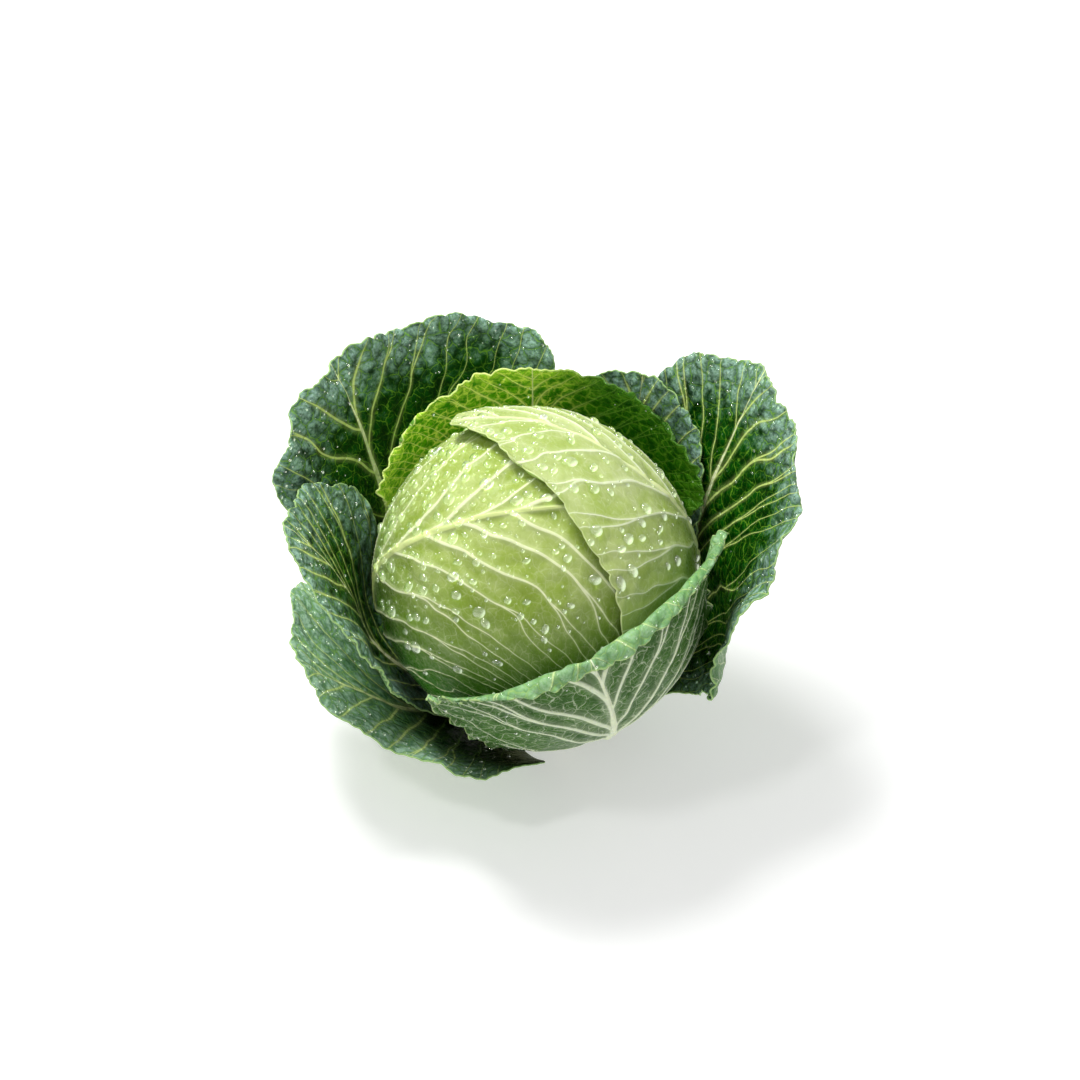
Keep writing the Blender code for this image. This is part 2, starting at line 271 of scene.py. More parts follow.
def leaf_points(leaf, t, s):
    """Points of the leaf's middle surface, t of the way from the midrib (-1 to 1), s along it,
    and how far the blade reaches from the midrib to its margin there."""
    r, z = midrib(leaf, s)
    r_after, z_after = midrib(leaf, np.clip(s + SLOPE_STEP, 0, 1))
    r_before, z_before = midrib(leaf, np.clip(s - SLOPE_STEP, 0, 1))
    slope = np.arctan2(z_after - z_before, r_after - r_before)[:, None]
    azimuth = np.radians(leaf["azimuth"] + curve(leaf.get("sway", (0,)), s))
    zero = np.zeros_like(s)
    out = np.stack([np.cos(azimuth), np.sin(azimuth), zero], 1)
    side = np.stack([-np.sin(azimuth), np.cos(azimuth), zero], 1)
    up = np.array([0.0, 0.0, 1.0])
    start = r[:, None] * out + z[:, None] * up
    normal = np.cos(slope) * up - np.sin(slope) * out
    inward = leaf.get("inward", 0.0)
    if inward:
        to_centre = HEAD_CENTRE * up - start
        to_centre /= np.linalg.norm(to_centre, axis=1, keepdims=True)
        normal = normal * (1 - inward) + to_centre * inward
        normal /= np.linalg.norm(normal, axis=1, keepdims=True)
    is_left = t >= 0
    cover = np.radians(np.where(is_left, curve(leaf["left"], s), curve(leaf["right"], s)))
    hug = np.where(is_left, curve(leaf["hug_left"], s), curve(leaf["hug_right"], s))
    reach = cover * np.hypot(r, z - HEAD_CENTRE)
    step = reach * np.abs(t) / BLADE_STEPS
    sideways = np.zeros_like(s)
    inwards = np.zeros_like(s)
    for k in range(BLADE_STEPS):
        bend = hug * cover * np.abs(t) * (k + 0.5) / BLADE_STEPS
        sideways += step * np.cos(bend)
        inwards += step * np.sin(bend)
    points = start + side * (np.sign(t) * sideways)[:, None] + normal * inwards[:, None]
    return turned(points, out, np.radians(curve(leaf.get("twist", (0,)), s))), reach


def unit(n):
    """The same directions with a length of 1."""
    return n / (np.linalg.norm(n, axis=-1, keepdims=True) + 1e-12)


def leaf_normals(leaf, t, s):
    """Unit normals of the leaf's smooth middle surface, on the side that faces the head."""
    s_after, s_before = np.clip(s + NORMAL_STEP, 0, 1), np.clip(s - NORMAL_STEP, 0, 1)
    along = leaf_points(leaf, t, s_after)[0] - leaf_points(leaf, t, s_before)[0]
    across = leaf_points(leaf, t + NORMAL_STEP, s)[0] - leaf_points(leaf, t - NORMAL_STEP, s)[0]
    return unit(np.cross(along, across))


def grid_normals(p, smooth_normals):
    """Unit normals of a grid of points. Where its cells are squeezed, the smooth normals rule."""
    n = np.cross(np.gradient(p, axis=0), np.gradient(p, axis=1))
    return unit(n / np.median(np.linalg.norm(n, axis=2)) + SMOOTH_SHARE * smooth_normals)


def margin_distance(p):
    """Distance along the grid from each point to the nearest of the two sides and the tip, in mm."""
    across = np.linalg.norm(np.diff(p, axis=1), axis=2) / MM
    along = np.linalg.norm(np.diff(p, axis=0), axis=2) / MM
    from_left = np.concatenate([np.zeros((p.shape[0], 1)), np.cumsum(across, axis=1)], 1)
    from_right = from_left[:, -1:] - from_left
    from_base = np.concatenate([np.zeros((1, p.shape[1])), np.cumsum(along, axis=0)], 0)
    to_tip = from_base[-1:] - from_base
    return sum((d + 0.05)**-4.0 for d in (from_left, from_right, to_tip))**-0.25


# ---- veins
def vein_map(look, u, v, length):
    """Where a point lies among the side veins: their running number, the fork's half width, the mm
    from one vein to the next and the half width of the nearest vein."""
    low, high = look["slant"]
    curl = look["curl"]
    seed = look["seed"]

    def number(u, v):
        x = np.abs(u)**curl * 10**(1 - curl)
        start = (v - low * x) / (1 + (high - low) * x / length)
        count = look["veins"] * start / length
        uneven = 0.42 * noise(count / 1.7, np.sign(u) * 3.5, seed + 2)
        wander = 0.26 * noise(u / 33, v / 33, seed) + 0.10 * noise(u / 12, v / 12, seed + 5)
        return count + uneven + wander + 0.23 * np.tanh(u / 5) + 0.37

    n = number(u, v)
    step = 0.5
    slope = np.hypot(number(u + step, v) - n, number(u, v + step) - n) / step
    spacing = np.minimum(1 / np.maximum(slope, 1e-4), 60)
    each = noise(np.floor(n) * 1.37 + 0.5, np.sign(u) * 2.5, seed + 30)
    begin = 0.45 + 0.3 * noise(np.floor(n) * 1.71 + 0.5, np.sign(u) * 4.5, seed + 31)
    fork = 0.23 * smooth(begin, begin + 0.5, np.abs(u) / 70)
    thick = look["vein"] * (0.8 + 0.45 * each) * (1.25 - 0.95 * smooth(0, 80, np.abs(u)))
    return n, fork, spacing, thick


def vein_distance(n, fork, spacing):
    """mm to the middle of the nearest side vein."""
    return np.abs(np.abs(n - np.floor(n) - 0.5) - fork) * spacing


# ---- meshes
def add_layer(mesh, name, values):
    """Three numbers for each point, which the materials read by that name."""
    layer = mesh.attributes.new(name, "FLOAT_VECTOR", "POINT")
    layer.data.foreach_set("vector", values.astype(np.float32).ravel())


def mesh_from_grids(name, faces_up, faces_down, layers):
    """A closed sheet from two grids of points that share their edges' order. 'layers' maps an
    attribute's name to its values on the first grid and on the second."""
    rows, cols = faces_up.shape[:2]
    count = rows * cols
    index = np.arange(count).reshape(rows, cols)
    quads = np.stack([index[:-1, :-1], index[:-1, 1:], index[1:, 1:], index[1:, :-1]], -1)
    quads = quads.reshape(-1, 4)
    rim = np.concatenate([index[0, :-1], index[:-1, -1], index[-1, :0:-1], index[:0:-1, 0]])
    after = np.roll(rim, -1)
    sides = np.stack([rim, rim + count, after + count, after], -1)
    faces = np.concatenate([quads[:, ::-1], quads + count, sides[:, ::-1]])
    points = np.concatenate([faces_up.reshape(-1, 3), faces_down.reshape(-1, 3)])
    mesh = bpy.data.meshes.new(name)
    mesh.vertices.add(len(points))
    mesh.vertices.foreach_set("co", points.ravel())
    mesh.loops.add(faces.size)
    mesh.loops.foreach_set("vertex_index", faces.ravel().astype(np.int32))
    mesh.polygons.add(len(faces))
    mesh.polygons.foreach_set("loop_start", np.arange(0, faces.size, 4, dtype=np.int32))
    mesh.update(calc_edges=True)
    for layer, (first, second) in layers.items():
        add_layer(mesh, layer, np.concatenate([first.reshape(-1, 3), second.reshape(-1, 3)]))
    mesh.shade_smooth()
    return mesh


def add_piece(mesh, material, node=None):
    """A visible piece on the one body. It stands for the CAD node, if one is named."""
    piece = bpy.data.objects.new(mesh.name, mesh)
    bpy.context.scene.collection.objects.link(piece)
    mesh.materials.append(material)
    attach(piece, "root")
    if node:
        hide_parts(node)
    return piece


def margin_arc(leaf, a, b):
    """mm along the margin, from the base up the right side and down the left, to the place on the
    margin that a square's point faces."""
    ones, rise = np.ones(PROBES), np.linspace(0, 1, PROBES)
    rim_a = np.concatenate([-ones, np.linspace(-1, 1, PROBES), ones])
    rim_b = np.concatenate([rise, ones, np.linspace(1, 0, PROBES)])
    rim = leaf_points(leaf, *trimmed_outline(leaf, rim_a, rim_b))[0]
    arc = np.concatenate([[0], np.cumsum(np.linalg.norm(np.diff(rim, axis=0), axis=1))]) / MM
    return np.interp(margin_angle(a, b), margin_angle(rim_a, rim_b), arc)


def lobed_outline(leaf, look, a, b, width):
    """Shares across and along the blade for a grid's points, with lobes and scallops, and the mm
    along the margin at each."""
    t, s = trimmed_outline(leaf, a, b)
    along = margin_arc(leaf, a, b)
    seed = look["seed"]
    lobes = 1.5 * ripple(along, 50, seed) + 0.8 * scallops(along, 12, seed + 1)
    lobes += 0.5 * look["frill"] * ripple(along, 4, seed + 4)
    edge = smooth(0.6, 1.0, np.maximum(np.abs(a), b))
    grow = 1 + edge * look["lobe"] * lobes * 2 / width * smooth(0.1, 0.3, b)
    stretch = np.where(s > LOBE_CENTRE, grow, 1)
    return t * grow, np.clip(LOBE_CENTRE + (s * TIP_ROOM - LOBE_CENTRE) * stretch, 0, 1), along


def margin_waves(look, along, margin, u, v):
    """mm by which the margin's waves lift the blade towards the head."""
    seed = look["seed"]
    wide = np.clip(1 - margin / 45, 0, 1)**1.6
    narrow = np.clip(1 - margin / 14, 0, 1)**1.4
    waves = look["ruffle"] * wide * ripple(along, 44, seed + 2)
    fine = 0.8 * ripple(along, 13, seed + 3) + 0.8 * noise(u / 6, v / 6, seed + 8)
    waves += look["crinkle"] * narrow * (fine + look["frill"] * ripple(along, 6, seed + 6))
    outwards = look["outwards"]
    return waves * (1 - outwards) - np.abs(waves) * outwards - look["raised"] * wide


def blade_bulges(look, away, rib_width, margin, u, v):
    """mm by which the blade between its veins bulges towards the head."""
    seed = look["seed"]
    bulge = (1 - np.exp(-(away / 4.5)**2)) * (1 - np.exp(-(u / rib_width / 2)**2))
    pucker = bulge * (0.75 + 0.5 * noise(u / 9, v / 9, seed + 20))
    lumps = 0.6 * noise(u / 26, v / 26, seed + 21) + 0.35 * noise(u / 8, v / 8, seed + 22)
    lumps += 0.2 * noise(u / 3.6, v / 3.6, seed + 23)
    return look["pucker"] * (pucker * smooth(0, 8, margin) + 0.8 * lumps) - 0.4 * look["pucker"]


def leaf_sheet(name, leaf, look, thickness):
    """The fine closed sheet of one leaf. Returns its mesh, the distance to the margin over its
    grid, and the points and normals of its outer face and of its inner one."""
    look = {**PLAIN_LOOK, **look}
    probe = np.linspace(0, 1, PROBES)
    r, z = midrib(leaf, probe)
    arc = np.concatenate([[0], np.cumsum(np.hypot(np.diff(r), np.diff(z)))]) / MM
    length = arc[-1]
    _, reach_left = leaf_points(leaf, probe * 0 + 1, probe)
    _, reach_right = leaf_points(leaf, probe * 0 - 1, probe)
    width = (reach_left.max() + reach_right.max()) / MM
    rows = int(math.sqrt(GRID_CELLS * length / width))
    cols = int(GRID_CELLS / rows) // 2 * 2
    a = np.linspace(-1, 1, cols + 1)[None, :] * np.ones((rows + 1, 1))
    b = np.linspace(0, 1, rows + 1)[:, None] * np.ones((1, cols + 1))
    t, s, along = lobed_outline(leaf, look, a, b, width)
    p, reach = leaf_points(leaf, t.ravel(), s.ravel())
    p = p.reshape(rows + 1, cols + 1, 3)
    u = t * (reach.reshape(rows + 1, cols + 1) / MM)
    v = np.interp(s, probe, arc)
    margin = margin_distance(p)
    # Ribs and veins: the mm to the nearest, and how wide they are
    n, fork, spacing, thick = vein_map(look, u, v, length)
    away = vein_distance(n, fork, spacing)
    thick = np.maximum(thick * smooth(0, 16, margin) * 0.75 + thick * 0.25, 0.16)
    rib_width = look["rib"] * (1 - 0.86 * smooth(0.0, 0.95, v / length))
    rib_width *= smooth(1.02, 0.8, v / length) * 0.9 + 0.1
    rib = np.exp(-(u / rib_width)**2)
    vein = np.exp(-(away / (thick * 1.1))**2)
    # The middle surface, lifted by waves and bulges, and the two faces
    smooth_normal = leaf_normals(leaf, t.ravel(), s.ravel()).reshape(p.shape)
    lift = margin_waves(look, along, margin, u, v)
    lift += blade_bulges(look, away, rib_width, margin, u, v)
    middle = p + smooth_normal * (lift * smooth(0.12, 0.4, b) * MM)[:, :, None]
    normal = grid_normals(middle, smooth_normal)
    half = thickness / MM / 2 * (0.5 + 0.5 * smooth(0, 6, margin))
    out_rise = half + rib * np.minimum(rib_width * 0.55, look["rib_height"])
    out_rise += vein * thick * look["vein_height"]
    in_rise = half - rib * 0.2 * half - vein * 0.12
    inner = middle + normal * (in_rise * MM)[:, :, None]
    outer = middle - normal * (out_rise * MM)[:, :, None]
    rib_share = np.abs(u) / np.maximum(rib_width, 0.3)
    ones = np.ones_like(u)
    layers = {
        "leaf": (np.stack([u, v, margin], -1),) * 2,
        "vein": (np.stack([n, fork, spacing], -1),) * 2,
        "rib": (np.stack([rib_share, thick, ones], -1), np.stack([rib_share, thick, 0 * ones], -1)),
    }
    return mesh_from_grids(name, inner, outer, layers), margin, (outer, -normal), (inner, normal)


# ---- materials
class Nodes:
    """Short names for building a material's node tree."""

    def __init__(self, name):
        self.material = bpy.data.materials.new(name)
        self.material.use_nodes = True
        self.tree = self.material.node_tree
        self.shader = self.tree.nodes["Principled BSDF"]
        self.out = self.tree.nodes["Material Output"]

    def add(self, kind, inputs=(), **settings):
        node = self.tree.nodes.new(kind)
        for key, value in settings.items():
            setattr(node, key, value)
        for key, value in dict(inputs).items():
            self.put(node.inputs[key], value)
        return node

    def put(self, socket, value):
        if isinstance(value, bpy.types.NodeSocket):
            self.tree.links.new(value, socket)
        else:
            socket.default_value = value

    def skin(self, values):
        """Numbers, colours or links for the shader's own sockets."""
        for key, value in values.items():
            self.put(self.shader.inputs[key], value)

    def math(self, operation, a, b=0.0):
        return self.add("ShaderNodeMath", {0: a, 1: b}, operation=operation).outputs[0]

    def plus(self, a, b):
        return self.math("ADD", a, b)

    def minus(self, a, b):
        return self.math("SUBTRACT", a, b)

    def times(self, a, b):
        return self.math("MULTIPLY", a, b)

    def vector(self, operation, a, b, out="Vector"):
        """'b' is a second vector, or the factor for SCALE."""
        second = 3 if operation == "SCALE" else 1
        return self.add("ShaderNodeVectorMath", {0: a, second: b}, operation=operation).outputs[out]

    def step(self, x, low, high):
        """Smooth step from 0 at low to 1 at high."""
        node = self.add("ShaderNodeMapRange", {0: x, 1: low, 2: high, 3: 0.0, 4: 1.0},
                        interpolation_type="SMOOTHSTEP")
        return node.outputs[0]

    def mix(self, share, a, b, blend="MIX"):
        """Colour a turned into b, or multiplied by it, by a share from 0 to 1."""
        node = self.add("ShaderNodeMix", data_type="RGBA", blend_type=blend)
        for index, value in ((0, share), (6, a), (7, b)):
            opaque = isinstance(value, tuple) and len(value) == 3
            self.put(node.inputs[index], (*value, 1.0) if opaque else value)
        return node.outputs[2]

    def split(self, vector):
        return self.add("ShaderNodeSeparateXYZ", {0: vector}).outputs[:3]

    def attribute(self, name):
        return self.split(self.add("ShaderNodeAttribute", attribute_name=name).outputs["Vector"])

    def noise(self, vector, scale, detail=2.0, rough=0.5, out="Fac"):
        values = {"Vector": vector, "Scale": scale, "Detail": detail, "Roughness": rough}
        return self.add("ShaderNodeTexNoise", values).outputs[out]

    def bump(self, strength, distance, height):
        values = {"Strength": strength, "Distance": distance, "Height": height}
        return self.add("ShaderNodeBump", values).outputs[0]


def linear(r, g, b):
    """Linear colour from screen values of 0 to 255."""
    return tuple(((c / 255 + 0.055) / 1.055)**2.4 if c > 10 else c / 255 / 12.92 for c in (r, g, b))


# Screen colours of each kind of leaf. 'deep' to 'fresh' is the blade's upper side and 'under_fresh'
# to 'under' its outer side, 'bloom' the wax towards the margin, 'bloom_reach' mm wide, 'net' the fine
# veins and 'low' a painted shade on the foot of the outer side, darker towards the bottom. 'inside',
# 'sunk' and 'shaded' are painted shade on the upper side: near the base, in the low leaf's hollow
# under the front leaf, and right of the hood's midrib. 'blotch' is the share of small patches in its
# tone.
# 'cell' and 'line' are the net's cell and line in mm, 'net_share' its strength. 'fine' thins the upper
# side's veins. 'shine' is the gloss, 'rough' the roughness, 'bump' the relief, and the glow is painted
# light: emission that stands in for the light a thin leaf lets through.
DARK = dict(
    deep=(0, 40, 0), fresh=(6, 78, 6), bloom=(170, 208, 190), net=(118, 168, 44),
    vein=(204, 224, 130), rib=(226, 234, 180), margin=(170, 204, 130), under=(96, 140, 84),
    under_fresh=(70, 118, 56), under_vein=(204, 220, 170), inside=(84, 128, 72),
    bloom_reach=27.0, blotch=0.6, cell=8.0, net_share=0.65, shine=0.1, rough=0.34, bump=0.7)
PALETTES = {
    "dark": DARK,
    "low": dict(
        DARK, deep=(46, 96, 50), fresh=(82, 134, 80), bloom=(180, 212, 190), net=(134, 176, 76),
        vein=(204, 224, 140), rib=(214, 226, 160), sunk=(72, 92, 60), bloom_reach=48.0, cell=7.0,
        net_share=0.6),
    "bright": dict(
        deep=(48, 128, 0), fresh=(98, 178, 0), bloom=(178, 218, 60), net=(214, 236, 90),
        vein=(232, 244, 130), rib=(222, 234, 160), margin=(218, 232, 140), under=(104, 152, 54),
        under_fresh=(84, 136, 34), under_vein=(212, 226, 154), shaded=(92, 132, 84),
        bloom_reach=11.0, blotch=0.6, cell=6.0, line=1.0, net_share=0.9, shine=0.2, rough=0.38,
        bump=0.7, painted_glow=0.22),
    "front": dict(
        deep=(84, 134, 72), fresh=(116, 166, 96), bloom=(156, 192, 150), net=(168, 196, 106),
        vein=(196, 218, 150), rib=(228, 236, 204), margin=(186, 210, 140), under=(70, 110, 44),
        under_fresh=(46, 86, 24), under_vein=(226, 236, 204),
        bloom_reach=24.0, blotch=0.3, cell=6.5, net_share=0.42, fine=1.8, shine=0.1, rough=0.36,
        bump=0.9),
    "head": dict(
        deep=(112, 152, 48), fresh=(134, 172, 66), bloom=(160, 190, 104), net=(176, 204, 108),
        vein=(206, 224, 146), rib=(212, 224, 150), margin=(202, 218, 146), under=(172, 188, 112),
        under_fresh=(144, 166, 66), under_vein=(228, 234, 190), low=(32, 90, 0),
        bloom_reach=6.0, blotch=0.1, cell=5.0, net_share=0.16, shine=0.08, rough=0.28, bump=0.12),
    "head_pale": dict(
        deep=(136, 170, 68), fresh=(154, 186, 86), bloom=(180, 204, 124), net=(190, 210, 124),
        vein=(216, 230, 160), rib=(220, 230, 170), margin=(214, 226, 164), under=(180, 194, 128),
        under_fresh=(158, 178, 92), under_vein=(226, 234, 198), low=(110, 142, 36),
        bloom_reach=6.0, blotch=0.1, cell=5.0, net_share=0.18, shine=0.1, rough=0.28, bump=0.12),
}
PLAIN_PALETTE = dict(line=0.44, fine=1.0)
FOOT_SHADE_HEIGHTS = (0.178, 0.085)    # metres above the floor, from the blade's own colour to the painted shade 'low', darker towards the bottom
INSIDE_SHADE_REACH = (85.0, 30.0)      # mm up the leaf, from its own colour to the painted shade 'inside' near the base
SUNK_SHADE_REACH = (86.0, 50.0)        # and to the painted shade 'sunk' in the low leaf's hollow
SHADED_REACH = (12.0, -40.0)     # mm left of the midrib, from the hood's own colour to 'shaded'


def vein_net(m, flat, cell, line):
    """A net in the blade: 1 on its lines, and the distance from them as a share of a cell. Its
    coordinates are bent a little, so that the cells aren't straight-sided."""
    bend = m.noise(flat, 0.16, out="Color")
    shift = m.vector("SCALE", m.vector("SUBTRACT", bend, (0.5, 0.5, 0.5)), 7.0)
    place = {"Vector": m.vector("ADD", flat, shift), "Scale": 1 / cell, "Randomness": 1.0}
    node = m.add("ShaderNodeTexVoronoi", place, feature="DISTANCE_TO_EDGE", voronoi_dimensions="2D")
    gap = node.outputs["Distance"]
    return m.step(gap, line / cell, 0.15 * line / cell), gap


def leaf_material(name, palette):
    """Leaf skin: green blade, bloom towards the margin, a net of fine veins, side veins and rib."""
    palette = {**PLAIN_PALETTE, **palette}
    colour = {k: linear(*v) for k, v in palette.items() if isinstance(v, tuple)}
    m = Nodes(name)
    u, v, margin = m.attribute("leaf")
    number, fork, spacing = m.attribute("vein")
    rib_share, vein_width, upper = m.attribute("rib")
    under = m.minus(1.0, upper)
    flat = m.add("ShaderNodeCombineXYZ", {0: u, 1: v, 2: 0.0}).outputs[0]
    net_large, large_gap = vein_net(m, flat, palette["cell"], palette["line"])
    net_small, small_gap = vein_net(m, flat, palette["cell"] * 0.4, 0.26)
    # Side veins: the distance to the nearest forked line, as a share of the vein's half width
    line = m.minus(m.math("ABSOLUTE", m.minus(m.math("FRACT", number), 0.5)), fork)
    share = m.math("DIVIDE", m.times(m.math("ABSOLUTE", line), spacing), vein_width)
    share = m.times(share, m.plus(1.0, m.times(upper, palette["fine"] - 1)))
    vein, halo = m.step(share, 1.1, 0.45), m.step(share, 4.5, 0.6)
    rib, rib_halo = m.step(rib_share, 1.2, 0.7), m.step(rib_share, 3.0, 0.8)
    # The blade: its tone varies in patches, and the bloom lies on top of its blisters
    patch = m.noise(flat, 0.035, 4.0, 0.6)
    mottle = m.noise(flat, 0.14, 3.0, 0.6)
    speck = m.noise(flat, 0.6, 3.0, 0.65)
    tone = m.step(m.mix(palette["blotch"], patch, mottle), 0.34, 0.66)
    bloom_from = m.minus(margin, m.times(m.minus(mottle, 0.5), 60.0))
    bloom_edge = m.step(bloom_from, palette["bloom_reach"] + 10.0, palette["bloom_reach"] * 0.2)
    blister_top = m.plus(m.times(m.step(large_gap, 0.02, 0.3), 0.65), 0.35)
    bloom = m.times(m.times(bloom_edge, m.step(speck, 0.15, 0.7)), blister_top)
    blade = m.mix(tone, colour["deep"], colour["fresh"])
    upper_colour = m.mix(m.times(bloom, 0.9), blade, colour["bloom"])
    under_colour = m.mix(tone, colour["under_fresh"], colour["under"])
    # Painted shade: the head's outer side turns to 'low' towards the floor, darker towards the bottom
    if "low" in palette:
        height = m.split(m.add("ShaderNodeTexCoord").outputs["Object"])[2]
        under_colour = m.mix(m.step(height, *FOOT_SHADE_HEIGHTS), under_colour, colour["low"])
    base = m.mix(under, upper_colour, under_colour)
    # Painted shade: the upper side darkens towards the leaf's base, where the head and other leaves
    # shade it
    if "inside" in palette:
        inside = m.times(m.step(v, *INSIDE_SHADE_REACH), upper)
        base = m.mix(inside, base, colour["inside"], "MULTIPLY")
    # The net is stronger in some places than in others. Then come veins, rib and margin
    fine_lines = m.mix(under, colour["net"], colour["under_vein"])
    lines = m.mix(under, colour["vein"], colour["under_vein"])
    strength = m.times(m.step(mottle, 0.3, 0.6), palette["net_share"])
    for mask, amount, over in (
            (net_small, m.times(strength, 0.4), fine_lines), (net_large, strength, fine_lines),
            (halo, 0.16, lines), (vein, 0.85, lines), (rib_halo, 0.2, lines),
            (rib, 1.0, colour["rib"]), (m.step(margin, 1.2, 0.2), 0.7, colour["margin"])):
        base = m.mix(m.times(mask, amount), base, over)
    if "shaded" in palette:
        base = m.mix(m.step(u, *SHADED_REACH), base, colour["shaded"], "MULTIPLY")
    # Painted shade: the low leaf's hollow under the front leaf darkens, over its veins and rib too
    if "sunk" in palette:
        base = m.mix(m.times(m.step(v, *SUNK_SHADE_REACH), upper), base, colour["sunk"], "MULTIPLY")
    # Surface: waxy, rougher where the bloom lies, blistered between the veins
    rough = m.plus(palette["rough"], m.times(bloom, 0.14))
    rough = m.plus(rough, m.times(m.minus(speck, 0.5), 0.2))
    blisters = m.plus(m.times(m.math("MINIMUM", large_gap, 0.3), 1.6),
                      m.times(m.math("MINIMUM", small_gap, 0.3), 0.4))
    height = m.plus(m.plus(blisters, m.times(speck, 0.10)), m.times(m.step(share, 3.0, 0.0), 0.3))
    m.skin({"Base Color": base, "Roughness": rough,
            "Normal": m.bump(palette["bump"], 1.0 * MM, height), "Subsurface Weight": 0.2,
            "Subsurface Radius": (0.8, 1.0, 0.25), "Subsurface Scale": 1.5 * MM,
            "Specular IOR Level": palette["shine"],
            "Coat Weight": palette["shine"] * 0.4, "Coat Roughness": 0.18})
    # Painted light: the hood emits its own colour, standing in for light let through the thin leaf
    if "painted_glow" in palette:
        m.skin({"Emission Color": base, "Emission Strength": palette["painted_glow"]})
    return m.material


def stem_material():
    """Pale fibres up the stump, brown where it dried, greener under its rim."""
    m = Nodes("cut_stem")
    where = m.add("ShaderNodeTexCoord").outputs["Object"]
    x, y, _ = m.split(where)
    radius = m.math("SQRT", m.plus(m.times(x, x), m.times(y, y)))
    fibre = m.noise(m.vector("MULTIPLY", where, (1, 1, 0.12)), 900.0)
    brown = m.noise(where, 160.0, 4.0, 0.6)
    base = m.mix(m.step(fibre, 0.3, 0.7), linear(196, 204, 140), linear(222, 226, 176))
    base = m.mix(m.times(m.step(brown, 0.5, 0.72), 0.5), base, linear(150, 132, 78))
    rim = m.step(m.math("DIVIDE", radius, STEM_RADIUS), 0.82, 0.98)
    base = m.mix(m.times(rim, 0.5), base, linear(168, 186, 110))
    m.skin({"Base Color": base, "Roughness": 0.6, "Normal": m.bump(0.4, 0.6 * MM, fibre)})
    return m.material


def floor_material():
    """Pale matt floor that glows a little, so that the shadow on it stays light."""
    m = Nodes("pale_floor")
    m.skin({"Base Color": (0.8, 0.8, 0.8, 1.0), "Roughness": 0.8,
            "Emission Color": (1.0, 1.0, 1.0, 1.0), "Emission Strength": 0.32})
    return m.material


def water_material():
    """Clear water that lets light through to the leaf under it, with painted shade on the side the
    light comes from and a painted glow on the far side, standing in for the light that the drop
    gathers there."""
    m = Nodes("water")
    # Painted shade and glow: a darker base colour on one fixed side of each drop, emission on the far
    # side
    normal = m.add("ShaderNodeNewGeometry").outputs["Normal"]
    towards_painted_shade = m.vector("DOT_PRODUCT", normal, PAINTED_SHADE_SIDE, out="Value")
    dark, bright = m.step(towards_painted_shade, 0.1, 0.62), m.step(towards_painted_shade, -0.25, -0.62)
    m.skin({"Base Color": m.mix(dark, (0.97, 1.0, 0.92), (0.28, 0.38, 0.18)), "Roughness": 0.02,
            "Emission Color": (0.9, 1.0, 0.8, 1.0), "Emission Strength": m.times(bright, 0.65),
            "IOR": 1.33, "Transmission Weight": 0.9, "Coat Weight": 1.0, "Coat IOR": 1.9,
            "Coat Roughness": 0.02})
    clear = m.add("ShaderNodeBsdfTransparent", {"Color": (0.66, 0.7, 0.56, 1.0)})
    shadow = m.add("ShaderNodeLightPath").outputs["Is Shadow Ray"]
    mixed = m.add("ShaderNodeMixShader", {0: shadow, 1: m.shader.outputs[0], 2: clear.outputs[0]})
    m.put(m.out.inputs["Surface"], mixed.outputs[0])
    return m.material


# ---- water drops
PAINTED_SHADE_SIDE = (-0.62, 0.35, 0.15)           # the side of a drop that gets painted shade; the far side gets a painted glow
DROP_TOP, DROP_FOOT = 0.75, 0.30         # shares of its radius, over the leaf and sunk into it
DROP_SAG = 0.22                          # how far a drop hangs downhill, in radii
COVER_REACH = 14 * MM                    # a spot with a leaf this close over it stays dry
WETTEST = np.array([-0.6, -0.08, 0.79])  # the head carries most drops on this side
# How many large drops, and as many fine ones, lie on the head, and how many fine ones elsewhere
HEAD_DROPS = {"head_leaf_left": 400, "head_leaf_right": 200}
FINE_DROPS = {"wrapper_leaf_back_left": 330, "wrapper_leaf_right": 330, "wrapper_leaf_left": 130,
              "wrapper_leaf_lower_left": 230, "wrapper_leaf_hood": 90, "wrapper_leaf_back": 90,
              "wrapper_leaf_front": 160}


def drop_shape(rings, around):
    """Points and faces of a unit drop: a round top and a shallow sunk underside, closed."""
    points = [(0.0, 0.0, DROP_TOP)]
    for k in range(1, rings):
        tilt = math.pi * k / rings
        height = math.cos(tilt) * (DROP_TOP if k < rings / 2 else DROP_FOOT)
        points += [(math.sin(tilt) * math.cos(turn), math.sin(tilt) * math.sin(turn), height)
                   for turn in np.arange(around) * 2 * math.pi / around]
    points.append((0.0, 0.0, -DROP_FOOT))
    faces = []
    last = len(points) - 1
    for j in range(around):
        after = (j + 1) % around
        faces.append((0, 1 + j, 1 + after, 1 + after))
        for k in range(rings - 2):
            low = 1 + k * around
            faces.append((low + j, low + around + j, low + around + after, low + after))
        low = 1 + (rings - 2) * around
        faces.append((low + j, last, last, low + after))
    return np.array(points), faces


